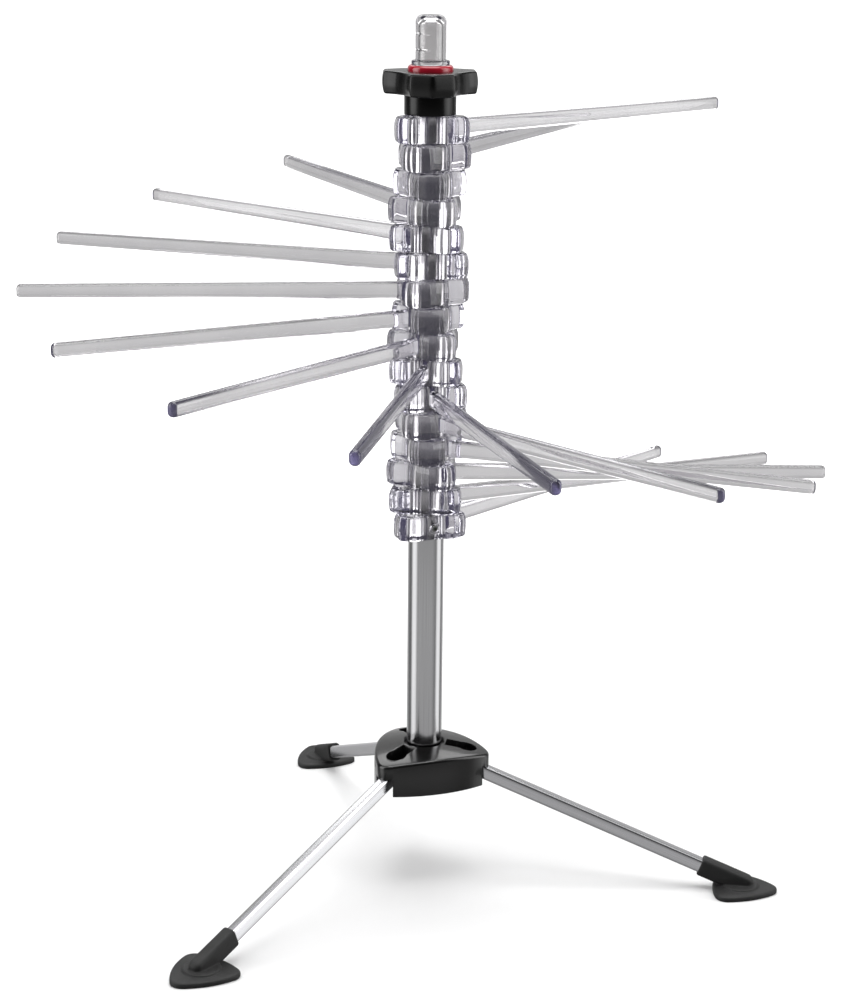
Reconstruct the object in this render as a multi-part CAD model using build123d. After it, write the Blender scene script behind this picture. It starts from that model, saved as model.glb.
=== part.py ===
from build123d import *
import math
import os

# A folding pasta drying rack: sixteen clear arms stacked on a steel column, three folding legs
# under a moulded base hub, and a clamping knob with a clear pasta wand kept in the column.
# Lengths are in millimetres and angles in degrees. +Z is up, and the origin is on the floor
# under the column's axis.

# Column
column_diameter = 20.0
column_wall = 1.3
bare_column = 123.4
column_end_rise = 0.2

# Arms and their hubs, in the arm's own frame with the arm along +X
arm_count = 16
first_arm_azimuth = 39.9
arm_step = 24.6
arm_reach = 225.0
arm_root_width = 6.2
arm_root_height = 9.4
arm_tip_width = 5.4
arm_tip_height = 7.4
arm_corner_radius = 2.3
arm_tip_rounding = 2.1
arm_tip_rise = 2.0
arm_root_depth = 2.5
ring_pitch = 14.8
ring_running_gap = 0.3
ring_land_height = 0.4
ring_land_radius = 13.9
lobe_count = 3
gable_angle = 30.0
lobe_reach = 23.4
lobe_half_width = 8.8
lobe_edge_radius = 2.2
lobe_draft = 0.35
ring_rim_chamfer = 1.3
waist_radius = 14.75

# Stops: a peg under each hub runs in an arc slot in the hub below it
peg_diameter = 3.0
peg_depth = 1.4
peg_circle_radius = 16.2
peg_gap = 0.3

# Grub screw that locks the lowest hub to the column
screw_azimuth = 240.0
screw_diameter = 4.0
screw_length = 5.6
screw_socket_width = 2.0
screw_socket_depth = 2.0
screw_boss_diameter = 6.6
screw_boss_reach = 16.4
screw_gap = 0.1

# Pressure collar, held in the knob by a snap lip
collar_diameter = 28.4
collar_height = 10.5
collar_edge = 0.6
neck_diameter = 24.4
neck_height = 2.5
lip_diameter = 26.2
lip_height = 2.2

# Knob
knob_azimuth = -27.5
knob_reach = 30.0
knob_lobe_half_width = 12.4
knob_waist_radius = 19.0
knob_edge_radius = 1.8
knob_height = 12.5
knob_rim_radius = 1.6
knob_mouth_depth = 2.0
knob_gap = 0.2
snap_gap = 0.4

# Red ring seated in the knob's top
band_diameter = 25.0
band_height = 4.1
band_rounding = 1.6
band_seat_depth = 0.8
band_gap = 0.1

# Wand, a closed clear tube that hangs in the column by its flange
wand_diameter = 16.6
wand_tip_diameter = 15.4
wand_wall = 2.4
wand_flange_diameter = 20.8
wand_flange_height = 2.2
wand_handle_height = 26.4
wand_length = 238.0
wand_crown_radius = 3.0

# Base hub
base_corner_reach = 40.0
base_side_reach = 28.0
base_corner_radius = 8.0
base_height = 24.5
base_dome_radius = 125.0
base_rim_radius = 1.5
base_wall = 3.0
base_core_depth = 13.0
base_core_inner_radius = 13.5
pivot_above_base = 11.1
socket_floor = 3.0
socket_gap = 0.05
well_diameter = 23.6
well_depth = 3.0
keyhole_start = 12.8
keyhole_width = 10.0
keyhole_eye_radius = 6.0
keyhole_eye_offset = 1.0
channel_width = 12.2

# Legs, in the leg's own frame with the leg running out along +X
leg_count = 3
first_leg_azimuth = -9.0
leg_slope = 21.0
leg_width = 6.5
leg_height = 8.0
leg_wall = 0.9
leg_corner_radius = 1.4
leg_start = 6.0
leg_side_gap = 0.3
leg_stop_gap = 0.1
pivot_radius = 24.0
foot_radius = 186.0
ankle_height = 4.9

# Pivot pins and the plastic eyes in the legs' inner ends
pin_diameter = 3.0
pin_gap = 0.08
pin_seat_gap = 0.03
eye_radius = 4.2
tongue_length = 18.0
tongue_gap = 0.05

# Feet
sleeve_width = 9.4
sleeve_height = 12.0
sleeve_corner_radius = 2.0
sleeve_behind_foot = 25.2
sleeve_past_foot = 4.5
sleeve_depth = 20.0
sleeve_gap = 0.05
pad_corner_reach = 23.0
pad_side_reach = 16.0
pad_corner_radius = 7.0
pad_thickness = 3.0
pad_rim_radius = 1.3
pad_disc_radius = 10.5
pad_disc_height = 1.8
pad_disc_draft = 30.0

# Length by which cutting tools run past the solids that they cut
overrun = 1.0

# Places worked out from the sizes
column_radius = column_diameter / 2
bore_radius = column_radius + ring_running_gap
leg_pitch = math.radians(leg_slope)
pivot_height = ankle_height + (foot_radius - pivot_radius) * math.tan(leg_pitch)
base_bottom = pivot_height - pivot_above_base
base_top = base_bottom + base_height
column_bottom = base_bottom + socket_floor
stack_bottom = base_top + bare_column
stack_top = stack_bottom + arm_count * ring_pitch
ring_body_height = ring_pitch - ring_land_height
collar_top = stack_top + collar_height
knob_bottom = collar_top + knob_gap
knob_top = knob_bottom + knob_height
band_bottom = knob_top - band_seat_depth
band_top = band_bottom + band_height
column_top = band_top + column_end_rise
foot_distance = (foot_radius - pivot_radius) / math.cos(leg_pitch)
sleeve_start = foot_distance - sleeve_behind_foot
sleeve_end = foot_distance + sleeve_past_foot
lobe_step = 360 / lobe_count
corner_step = 360 / leg_count


def polar(radius, azimuth):
    """Point in the XY plane at a radius and an azimuth in degrees."""
    angle = math.radians(azimuth)
    return (radius * math.cos(angle), radius * math.sin(angle))


def upright_rod(radius, bottom, top):
    """Plain rod round the Z axis, from one height to another."""
    rod = Cylinder(radius, top - bottom, align=(Align.CENTER, Align.CENTER, Align.MIN))
    return Pos(0, 0, bottom) * rod


def upright_tube(outer_radius, inner_radius, bottom, top):
    """Plain tube round the Z axis, from one height to another."""
    return upright_rod(outer_radius, bottom, top) - upright_rod(inner_radius, bottom, top)


def rounded_corners(corner_reach, side_reach, corner_radius):
    """Face with bowed sides and rounded corners, a corner for each leg and the first on +X."""
    edges = []
    for side in range(leg_count):
        start = corner_step * side
        edges.append(
            ThreePointArc(
                polar(corner_reach, start),
                polar(side_reach, start + corner_step / 2),
                polar(corner_reach, start + corner_step),
            )
        )
    face = make_face(edges)
    return fillet(face.vertices(), corner_radius)


def lobed_face(reach, half_width, waist, edge_radius):
    """Gabled lobes with hollow flanks between them, the first lobe half a step past +X."""
    gable_drop = half_width * math.tan(math.radians(gable_angle))
    shoulder = math.hypot(reach - gable_drop, half_width)
    spread = math.degrees(math.atan2(half_width, reach - gable_drop))
    edges = []
    for lobe in range(lobe_count):
        middle = lobe_step * (lobe + 1 / 2)
        edges.append(Line(polar(shoulder, middle - spread), polar(reach, middle)))
        edges.append(Line(polar(reach, middle), polar(shoulder, middle + spread)))
        edges.append(
            ThreePointArc(
                polar(shoulder, middle + spread),
                polar(waist, middle + lobe_step / 2),
                polar(shoulder, middle + lobe_step - spread),
            )
        )
    face = make_face(edges)
    return fillet(face.vertices(), edge_radius)


def drafted_lobes(reach, half_width, waist, edge_radius, height, draft):
    """Lobed block that narrows by the draft from its lower face to its upper one."""
    lower = lobed_face(reach, half_width, waist, edge_radius)
    upper = lobed_face(reach - draft, half_width - draft, waist - draft, edge_radius)
    return loft([lower, Pos(0, 0, height) * upper], ruled=True)


def rims_of(solid, *heights):
    """Edges of a solid that lie flat at the given heights."""
    chosen = ShapeList()
    for height in heights:
        chosen += solid.edges().filter_by_position(Axis.Z, height, height)
    return chosen


def outer_rim_of(solid, height):
    """The longest edge that lies flat at a height."""
    return rims_of(solid, height).sort_by(SortBy.LENGTH)[-1]


# Arm mouldings

peg_azimuth = 180 + arm_step / 2
hub_middle = ring_body_height / 2


def ring_blank():
    """Lobed hub of an arm, without bore, stops or arm."""
    blank = drafted_lobes(
        lobe_reach, lobe_half_width, waist_radius, lobe_edge_radius, ring_body_height, lobe_draft
    )
    return chamfer(rims_of(blank, 0, ring_body_height), ring_rim_chamfer)


def arm_bar():
    """Tapered clear bar that leaves the hub's flank and rises a little to its rounded tip."""
    root_radius = waist_radius - arm_root_depth
    root = RectangleRounded(arm_root_width, arm_root_height, arm_corner_radius)
    tip = RectangleRounded(arm_tip_width, arm_tip_height, arm_corner_radius)
    bar = loft(
        [
            Plane(origin=(root_radius, 0, hub_middle), x_dir=(0, 1, 0), z_dir=(1, 0, 0)) * root,
            Plane(
                origin=(arm_reach, 0, hub_middle + arm_tip_rise), x_dir=(0, 1, 0), z_dir=(1, 0, 0)
            )
            * tip,
        ],
        ruled=True,
    )
    tip_edges = bar.edges().filter_by_position(Axis.X, arm_reach, arm_reach)
    return fillet(tip_edges, arm_tip_rounding)


def stop_slot():
    """Arc slot in the hub's top, in which the peg of the hub above travels by one arm step."""
    depth = peg_depth + peg_gap
    track = CenterArc((0, 0), peg_circle_radius, peg_azimuth - arm_step, arm_step)
    outline = SlotArc(track, peg_diameter + 2 * peg_gap)
    return Pos(0, 0, ring_body_height - depth) * extrude(outline, depth + overrun)


def stop_peg():
    """Peg under the hub that reaches past the land into the slot below."""
    peg_x, peg_y = polar(peg_circle_radius, peg_azimuth)
    peg = upright_rod(peg_diameter / 2, -ring_land_height - peg_depth, 0)
    return Pos(peg_x, peg_y, 0) * peg


def plain_moulding():
    """Hub with its bearing land, bar, bore and slot."""
    land = upright_rod(ring_land_radius, ring_body_height, ring_pitch)
    bore = upright_rod(bore_radius, -overrun, ring_pitch + overrun)
    return ring_blank() + arm_bar() + land - bore - stop_slot()


def arm_moulding():
    """One of the turning arms, with its stop peg."""
    return plain_moulding() + stop_peg()


def screw_axis():
    """Placement whose +Z runs outward along the grub screw."""
    return Pos(0, 0, hub_middle) * Rot(0, 0, screw_azimuth) * Rot(0, 90, 0)


def locked_arm_moulding():
    """The lowest arm, with a boss and a radial hole for the grub screw and no peg."""
    boss = upright_rod(screw_boss_diameter / 2, 0, screw_boss_reach)
    hole = upright_rod(screw_diameter / 2 + screw_gap, 0, screw_boss_reach + overrun)
    bore = upright_rod(bore_radius, 0, ring_pitch)
    return plain_moulding() + (screw_axis() * boss - bore) - screw_axis() * hole


def set_screw():
    """Grub screw with a hexagon socket, its flat point against the column."""
    point = column_radius + screw_gap
    head = point + screw_length
    hexagon = RegularPolygon(screw_socket_width / 2, 6, major_radius=False)
    socket = Pos(0, 0, head - screw_socket_depth) * extrude(hexagon, screw_socket_depth + overrun)
    return screw_axis() * (upright_rod(screw_diameter / 2, point, head) - socket)


def stacked(piece, index):
    """Place an arm, or what sits in it, at its level and azimuth; index 1 is the top arm."""
    level = stack_top - index * ring_pitch
    azimuth = first_arm_azimuth + arm_step * (index - 1)
    return Pos(0, 0, level) * Rot(0, 0, azimuth) * piece


# Column and clamp


def column_tube():
    """Steel tube from the base hub's socket up through the knob and the red ring."""
    return upright_tube(column_radius, column_radius - column_wall, column_bottom, column_top)


def clamp_collar():
    """Collar that presses on the top arm; its neck and lip are held inside the knob."""
    neck_top = collar_top + neck_height
    body = upright_tube(collar_diameter / 2, bore_radius, stack_top, collar_top)
    body = chamfer(outer_rim_of(body, collar_top), collar_edge)
    body += upright_tube(neck_diameter / 2, bore_radius, collar_top, neck_top)
    return body + upright_tube(lip_diameter / 2, bore_radius, neck_top, neck_top + lip_height)


def knob():
    """Three-lobed knob, threaded on the column, with the collar's snap groove in its mouth."""
    outline = lobed_face(knob_reach, knob_lobe_half_width, knob_waist_radius, knob_edge_radius)
    blank = extrude(outline, knob_height)
    blank = fillet(rims_of(blank, 0, knob_height), knob_rim_radius)
    body = Pos(0, 0, knob_bottom) * Rot(0, 0, knob_azimuth) * blank
    groove_top = collar_top + neck_height + lip_height + snap_gap
    body -= upright_rod(neck_diameter / 2 + snap_gap, knob_bottom - overrun, groove_top)
    body -= upright_rod(lip_diameter / 2 + snap_gap, knob_bottom + knob_mouth_depth, groove_top)
    body -= upright_rod(bore_radius, knob_bottom, knob_top + overrun)
    return body - upright_rod(band_diameter / 2 + band_gap, band_bottom, knob_top + overrun)


def red_band():
    """Soft red ring seated in the knob's top round the column's end."""
    band = upright_tube(band_diameter / 2, bore_radius, band_bottom, band_top)
    return fillet(outer_rim_of(band, band_top), band_rounding)


def wand():
    """Closed clear tube with a flange that rests on the column's end."""
    wand_bottom = column_top - wand_length
    wand_top = column_top + wand_handle_height
    handle = upright_rod(wand_diameter / 2, column_top, wand_top)
    handle = fillet(rims_of(handle, wand_top), wand_crown_radius)
    flange = upright_rod(wand_flange_diameter / 2, column_top, column_top + wand_flange_height)
    shank = Pos(0, 0, wand_bottom) * Cone(
        wand_tip_diameter / 2,
        wand_diameter / 2,
        wand_length,
        align=(Align.CENTER, Align.CENTER, Align.MIN),
    )
    bore = upright_rod(
        wand_diameter / 2 - wand_wall, wand_bottom - overrun, wand_top - wand_wall
    )
    return handle + flange + shank - bore


# Base and legs


def about_axis(piece, first_azimuth, index):
    """Copy of a piece turned to its leg's place in an even ring about the Z axis."""
    return Rot(0, 0, first_azimuth + corner_step * index) * piece


def at_pivot(piece):
    """Place a piece drawn along +X at the leg's pivot, pitched down by the leg's slope."""
    return Pos(pivot_radius, 0, pivot_height) * Rot(0, leg_slope, 0) * piece


def cross_pin(radius, length):
    """Rod along Y, centred on the pivot's axis."""
    return Pos(pivot_radius, 0, pivot_height) * Rot(90, 0, 0) * Cylinder(radius, length)


def leg_channel():
    """Space below the hub's corner in which a leg rests and folds, with its stop above."""
    outer = base_corner_reach + overrun
    top_surface = leg_height / 2 + leg_stop_gap
    bottom = base_bottom - overrun

    def stop_line(reach):
        return (
            pivot_height
            - (reach - pivot_radius) * math.tan(leg_pitch)
            + top_surface / math.cos(leg_pitch)
        )

    inner = pivot_radius
    side = Polyline(
        (inner, bottom),
        (outer, bottom),
        (outer, stop_line(outer)),
        (inner, stop_line(inner)),
        close=True,
    )
    return extrude(Plane.XZ * make_face(side), channel_width / 2, both=True)


def keyhole():
    """Upright opening over the leg's eye, narrow near the column and round at the pivot."""
    length = pivot_radius - keyhole_start
    height = base_height + 2 * overrun
    slot = Box(length, keyhole_width, height, align=(Align.MIN, Align.CENTER, Align.MIN))
    eye = upright_rod(keyhole_eye_radius, 0, height)
    both = Pos(keyhole_start, 0, 0) * slot + Pos(pivot_radius + keyhole_eye_offset, 0, 0) * eye
    return Pos(0, 0, base_bottom - overrun) * both


def base_core():
    """Hollows under the hub, between the leg channels, that keep its walls even."""
    outline = rounded_corners(
        base_corner_reach - 2 * base_wall, base_side_reach - base_wall, base_corner_radius
    )
    cores = extrude(outline, base_core_depth + overrun)
    cores -= upright_rod(base_core_inner_radius, 0, base_core_depth + overrun)
    rib = Box(
        2 * base_corner_reach,
        channel_width + 2 * base_wall,
        2 * base_height,
        align=(Align.MIN, Align.CENTER, Align.CENTER),
    )
    for leg in range(leg_count):
        cores -= about_axis(rib, 0, leg)
    return Pos(0, 0, base_bottom - overrun) * cores


def base_hub():
    """Domed three-cornered hub with the column's socket and the three leg openings."""
    outline = rounded_corners(base_corner_reach, base_side_reach, base_corner_radius)
    block = Pos(0, 0, base_bottom) * extrude(outline, base_height)
    body = block & Pos(0, 0, base_top - base_dome_radius) * Sphere(base_dome_radius)
    dome = body.faces().filter_by(GeomType.SPHERE)[0]
    body = fillet(dome.edges(), base_rim_radius)
    body -= base_core()
    pin_hole = cross_pin(pin_diameter / 2 + pin_seat_gap, channel_width + 3 * base_wall)
    for leg in range(leg_count):
        for opening in (leg_channel(), keyhole(), pin_hole):
            body -= about_axis(opening, 0, leg)
    body -= upright_rod(column_radius + socket_gap, column_bottom, base_top + overrun)
    body -= upright_rod(well_diameter / 2, base_top - well_depth, base_top + overrun)
    return Rot(0, 0, first_leg_azimuth) * body


def leg_tube():
    """Steel leg of rounded rectangular tube."""
    outer = RectangleRounded(leg_width, leg_height, leg_corner_radius)
    inner = RectangleRounded(
        leg_width - 2 * leg_wall, leg_height - 2 * leg_wall, leg_corner_radius - leg_wall
    )
    end = sleeve_start + sleeve_depth
    section = Plane(origin=(leg_start, 0, 0), x_dir=(0, 1, 0), z_dir=(1, 0, 0)) * (outer - inner)
    return at_pivot(extrude(section, end - leg_start))


def leg_eye():
    """Plastic eye that turns on the pivot pin, with a tongue inside the leg tube."""
    eye_width = keyhole_width - 2 * leg_side_gap
    eye = Rot(90, 0, 0) * Cylinder(eye_radius, eye_width)
    section = RectangleRounded(
        leg_width - 2 * leg_wall - tongue_gap,
        leg_height - 2 * leg_wall - tongue_gap,
        leg_corner_radius - leg_wall,
    )
    tongue = extrude(Plane(origin=(0, 0, 0), x_dir=(0, 1, 0), z_dir=(1, 0, 0)) * section, tongue_length)
    hole = Rot(90, 0, 0) * Cylinder(pin_diameter / 2 + pin_gap, eye_width + overrun)
    return at_pivot(eye + tongue - hole)


def pivot_pin():
    """Steel pin across the hub's opening, its ends in the walls beside it."""
    return cross_pin(pin_diameter / 2, channel_width + 2 * base_wall)


def foot():
    """Moulded foot: a sleeve over the leg's end on a thin three-cornered pad."""
    outline = rounded_corners(pad_corner_reach, pad_side_reach, pad_corner_radius)
    pad = extrude(outline, pad_thickness)
    pad = fillet(rims_of(pad, pad_thickness), pad_rim_radius)
    disc = extrude(Circle(pad_disc_radius), pad_disc_height, taper=pad_disc_draft)
    pad += Pos(0, 0, pad_thickness) * disc
    sleeve = Plane(origin=(sleeve_start, 0, 0), x_dir=(0, 1, 0), z_dir=(1, 0, 0)) * (
        RectangleRounded(sleeve_width, sleeve_height, sleeve_corner_radius)
    )
    sleeve = extrude(sleeve, sleeve_end - sleeve_start)
    far_end = sleeve.edges().filter_by_position(Axis.X, sleeve_end, sleeve_end)
    sleeve = at_pivot(fillet(far_end, sleeve_corner_radius))
    ground = Box(
        4 * pad_corner_reach,
        4 * pad_corner_reach,
        sleeve_height,
        align=(Align.CENTER, Align.CENTER, Align.MAX),
    )
    body = Pos(foot_radius, 0, 0) * pad + (sleeve - Pos(foot_radius, 0, 0) * ground)
    pocket = Box(
        sleeve_depth + overrun,
        leg_width + 2 * sleeve_gap,
        leg_height + 2 * sleeve_gap,
        align=(Align.MIN, Align.CENTER, Align.CENTER),
    )
    return body - at_pivot(Pos(sleeve_start - overrun, 0, 0) * pocket)


# Nodes

nodes = {
    "base_hub": base_hub(),
    "column_tube": column_tube(),
    "clamp_collar": clamp_collar(),
    "knob": knob(),
    "red_band": red_band(),
    "wand": wand(),
    "set_screw": stacked(set_screw(), arm_count),
}

turning_arm = arm_moulding()
for index in range(1, arm_count):
    nodes[f"arm_{index:02d}"] = stacked(turning_arm, index)
nodes[f"arm_{arm_count:02d}"] = stacked(locked_arm_moulding(), arm_count)

for name, piece in (
    ("leg_tube", leg_tube()),
    ("leg_eye", leg_eye()),
    ("pivot_pin", pivot_pin()),
    ("foot", foot()),
):
    for leg in range(leg_count):
        nodes[f"{name}_{leg + 1}"] = about_axis(piece, first_leg_azimuth, leg)

os.makedirs("parts", exist_ok=True)
for name, piece in nodes.items():
    export_step(piece, f"parts/{name}.step")
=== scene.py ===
"""Dressed model of a folding pasta drying rack with sixteen clear arms on a steel column."""

import logging
import math
from dataclasses import dataclass
from enum import Enum
from typing import Sequence

import bmesh
import bpy
from mathutils import Matrix, Vector


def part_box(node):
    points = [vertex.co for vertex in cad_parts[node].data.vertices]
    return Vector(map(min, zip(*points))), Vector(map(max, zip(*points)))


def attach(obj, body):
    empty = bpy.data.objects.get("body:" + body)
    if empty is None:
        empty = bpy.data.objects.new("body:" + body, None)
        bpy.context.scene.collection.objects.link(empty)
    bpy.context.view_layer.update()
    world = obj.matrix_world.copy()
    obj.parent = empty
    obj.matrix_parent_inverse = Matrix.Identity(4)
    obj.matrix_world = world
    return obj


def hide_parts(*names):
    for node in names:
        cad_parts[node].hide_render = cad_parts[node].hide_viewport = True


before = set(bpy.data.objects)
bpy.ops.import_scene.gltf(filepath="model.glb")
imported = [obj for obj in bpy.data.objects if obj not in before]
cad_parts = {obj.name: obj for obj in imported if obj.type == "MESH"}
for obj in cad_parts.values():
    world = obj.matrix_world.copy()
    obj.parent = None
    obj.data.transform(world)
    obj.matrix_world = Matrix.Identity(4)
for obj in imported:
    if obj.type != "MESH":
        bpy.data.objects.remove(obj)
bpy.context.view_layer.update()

LOG = logging.getLogger("drying_rack")

MM = 0.001
MERGE_DISTANCE = 1e-7
CORNER_STEPS = 6
BULGE_STEPS = 8
SLOT_STEPS = 10
MITRE_LIMIT = 0.3
SHARP_ANGLE = math.radians(34)
BEVEL_ANGLE = math.radians(38)
GABLE_ANGLE = 30.0
SMALL_ROUND, MIDDLE_ROUND, LARGE_ROUND, FULL_ROUND, FINE_ROUND = 24, 48, 64, 96, 128
BEYOND = 1.0
LOBES = 3
TURN = 360.0
DRAWN_MAP = "drawn"

Piece = bpy.types.Object
Material = bpy.types.Material
Tree = bpy.types.NodeTree
Socket = bpy.types.NodeSocket
Point = tuple[float, float]
Triple = tuple[float, float, float]
Ring = list[Vector]
Colour = tuple[float, float, float, float]
Inputs = dict[str | int, object]
Pattern = tuple[tuple[str, float], ...]

MOULDED_VALUES = ("Wave Scale", "Grain Scale", "Grain Share", "Roughness", "Roughness Spread")
DRAWN_VALUES = ("Lines Across", "Lines Along", "Roughness", "Roughness Spread")
TEXTURE_OUTPUTS = dict.fromkeys(("Roughness", "Height", "Shade"), "Float")


class Slot(Enum):
    """Material slots of the record, listed by name."""

    CLEAR = "clear_plastic"
    BLACK = "black_plastic"
    FOOT = "foot_plastic"
    STEEL = "satin_steel"
    COLUMN = "brushed_column"
    SCREW = "screw_steel"
    RED = "red_ring"


class Cut(Enum):
    """Ways to combine two closed meshes."""

    JOIN = "UNION"
    TAKE_AWAY = "DIFFERENCE"


# Outlines


def polar(radius: float, azimuth: float) -> Point:
    """Point in the plan at a radius and an azimuth in degrees."""
    angle = math.radians(azimuth)
    return (radius * math.cos(angle), radius * math.sin(angle))


def arc(centre: Point, radius: float, first: float, last: float, steps: int) -> list[Point]:
    """Points along an arc.

    Args:
        centre: Centre of the arc.
        radius: Radius of the arc.
        first: Azimuth of the first point in degrees.
        last: Azimuth of the last point in degrees.
        steps: Number of spans between points.

    Returns:
        The points, with both ends.
    """
    points = []
    for step in range(steps + 1):
        x, y = polar(radius, first + (last - first) * step / steps)
        points.append((centre[0] + x, centre[1] + y))
    return points


def rounded_path(corners: Sequence[Triple], closed: bool = True) -> list[Point]:
    """Round the corners of a path.

    Args:
        corners: Each corner's x, y and radius; a radius of zero keeps it sharp.
        closed: Whether the path returns to its first corner.

    Returns:
        The path's points.
    """
    points: list[Point] = []
    count = len(corners)
    for index, (x, y, radius) in enumerate(corners):
        inner = closed or 0 < index < count - 1
        if radius <= 0 or not inner:
            points.append((x, y))
            continue
        here = Vector((x, y))
        back = (Vector(corners[index - 1][:2]) - here).normalized()
        onward = (Vector(corners[(index + 1) % count][:2]) - here).normalized()
        half = back.angle(onward) / 2
        centre = here + (back + onward).normalized() * radius / math.sin(half)
        start = here + back * radius / math.tan(half) - centre
        end = here + onward * radius / math.tan(half) - centre
        first = math.degrees(math.atan2(start.y, start.x))
        sweep = math.degrees(math.atan2(end.y, end.x)) - first
        sweep = (sweep + TURN / 2) % TURN - TURN / 2
        points += arc((centre.x, centre.y), radius, first, first + sweep, CORNER_STEPS)
    return points


def edged(corners: Sequence[Point], radii: Sequence[float]) -> list[Point]:
    """Round the corners of a closed profile, each by its own radius."""
    return rounded_path([(*corner, radius) for corner, radius in zip(corners, radii)])


def upright(inner: float, outer: float, low: float, high: float) -> list[Point]:
    """Triples of a ring's upright section."""
    return [(inner, low), (outer, low), (outer, high), (inner, high)]


def spans(start: Point, end: Point, count: int) -> list[Point]:
    """Points that divide a line into equal spans, without its end."""
    return [
        tuple(a + (b - a) * step / count for a, b in zip(start, end)) for step in range(count)
    ]


def subdivided(points: Sequence[Point], longest: float) -> list[Point]:
    """Divide the long spans of a closed outline.

    Args:
        points: The outline.
        longest: Longest span that is left.

    Returns:
        The outline with more points.
    """
    result: list[Point] = []
    for start, end in zip(points, [*points[1:], points[0]]):
        result += spans(start, end, max(1, math.ceil(math.dist(start, end) / longest)))
    return result


def inset(points: Sequence[Point], distance: float) -> list[Point]:
    """Move a closed outline inwards.

    Args:
        points: The outline, anticlockwise.
        distance: How far each side moves.

    Returns:
        The moved outline, point for point.
    """
    result: list[Point] = []
    count = len(points)
    for index in range(count):
        back, here, onward = (Vector(points[(index + k) % count]) for k in (-1, 0, 1))
        one, two = (here - back).normalized(), (onward - here).normalized()
        normal = (Vector((-one.y, one.x)) + Vector((-two.y, two.x))).normalized()
        spread = max(MITRE_LIMIT, normal.dot(Vector((-one.y, one.x))))
        moved = here + normal * distance / spread
        result.append((moved.x, moved.y))
    return result


def bowed_triangle(corner_reach: float, side_reach: float, corner_radius: float) -> list[Point]:
    """Outline of a triangle with bowed sides and round corners, one corner on +X.

    Args:
        corner_reach: Distance of the sharp corners from the centre.
        side_reach: Distance of the middles of the sides.
        corner_radius: Radius of the rounding.

    Returns:
        The outline, anticlockwise.
    """
    step, corner_steps, side_steps = TURN / LOBES, 14, 22
    half_chord = corner_reach * math.sin(math.radians(step / 2))
    rise = side_reach - corner_reach * math.cos(math.radians(step / 2))
    side_radius = (half_chord**2 + rise**2) / (2 * rise)
    arc_x, arc_y = polar(side_reach - side_radius, step / 2)
    corner_x = arc_x + math.sqrt((side_radius - corner_radius) ** 2 - arc_y**2)
    limit = math.degrees(math.atan2(-arc_y, corner_x - arc_x))
    points: list[Point] = []
    for corner in range(LOBES):
        start = corner * step
        centre = polar(corner_x, start)
        points += arc(centre, corner_radius, start - limit, start + limit, corner_steps)[:-1]
        centre = polar(side_reach - side_radius, start + step / 2)
        points += arc(
            centre, side_radius, start + limit, start + step - limit, side_steps
        )[:-1]
    return points


def lobed_outline(
    reach: float, half_width: float, waist: float, edge_radius: float, longest: float
) -> list[Point]:
    """Outline of three gabled lobes with hollow flanks.

    Args:
        reach: Distance of the gables' ridges from the centre.
        half_width: Half a lobe's width.
        waist: Distance of the flanks' middles.
        edge_radius: Rounding of the lobes' corners.
        longest: Longest span between points.

    Returns:
        The outline, anticlockwise, with the first lobe at 60 degrees.
    """
    drop = half_width * math.tan(math.radians(GABLE_ANGLE))
    shoulder = math.hypot(reach - drop, half_width)
    spread = math.degrees(math.atan2(half_width, reach - drop))
    step, flank_steps = TURN / LOBES, 9
    half_chord = shoulder * math.sin(math.radians(step / 2 - spread))
    sag = shoulder * math.cos(math.radians(step / 2 - spread)) - waist
    flank_radius = (half_chord**2 + sag**2) / (2 * sag)
    opening = math.degrees(math.asin(half_chord / flank_radius))
    corners: list[Triple] = []
    for lobe in range(LOBES):
        middle = step / 2 + step * lobe
        for radius, azimuth in (
            (shoulder, middle - spread), (reach, middle), (shoulder, middle + spread)
        ):
            corners.append((*polar(radius, azimuth), edge_radius))
        facing = middle + step / 2
        centre = polar(waist + flank_radius, facing)
        inward = facing + TURN / 2
        flank = arc(centre, flank_radius, inward + opening, inward - opening, flank_steps)
        corners += [(x, y, 0.0) for x, y in flank[1:-1]]
    return subdivided(rounded_path(corners), longest)


def strip(first: float, last: float, half: float, radius: float = 0.0) -> list[Point]:
    """Outline of a strip along the X axis with rounded corners, anticlockwise."""
    corners = ((first, -half), (last, -half), (last, half), (first, half))
    return rounded_path([(x, y, radius) for x, y in corners])


def rounded_box(width: float, height: float, radius: float) -> list[Point]:
    """Outline of a rectangle with rounded corners, anticlockwise."""
    return strip(-width / 2, width / 2, height / 2, radius)


def bowed_box(width: float, height: float, radius: float, bow: float) -> list[Point]:
    """Outline of a rounded rectangle whose sides bow outwards.

    Args:
        width: Its greatest width.
        height: Its greatest height.
        radius: Rounding of its corners.
        bow: How far the middles of the sides stand out.

    Returns:
        The outline, anticlockwise.
    """
    steps = 4
    x, y = width / 2 - bow, height / 2 - bow
    corners: list[Triple] = []
    for side, (half, out) in enumerate(((y, x), (x, y), (y, x), (x, y))):
        facing = Vector(polar(1.0, 90 * side))
        along = Vector((-facing.y, facing.x))
        for step in range(steps):
            share = 2 * step / steps - 1
            point = facing * (out + bow * (1 - share**2)) + along * half * share
            corners.append((point.x, point.y, 0.0 if step else radius))
    return rounded_path(corners)


# Meshes


def level(points: Sequence[Point], height: float) -> Ring:
    """Lay an outline at a height."""
    return [Vector((x, y, height)) for x, y in points]


def walls(outline: Sequence[Point], profile: Sequence[Point], base: float = 0.0) -> list[Ring]:
    """Rings of an outline at pairs of inset and height above a base."""
    return [level(inset(outline, depth), base + height) for depth, height in profile]


def circles(outline: Sequence[Point], profile: Sequence[Point]) -> list[Ring]:
    """Circles at pairs of radius and height, their points on the rays of an outline's."""
    rays = [math.degrees(math.atan2(y, x)) for x, y in outline]
    return [level([polar(radius, ray) for ray in rays], height) for radius, height in profile]


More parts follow.
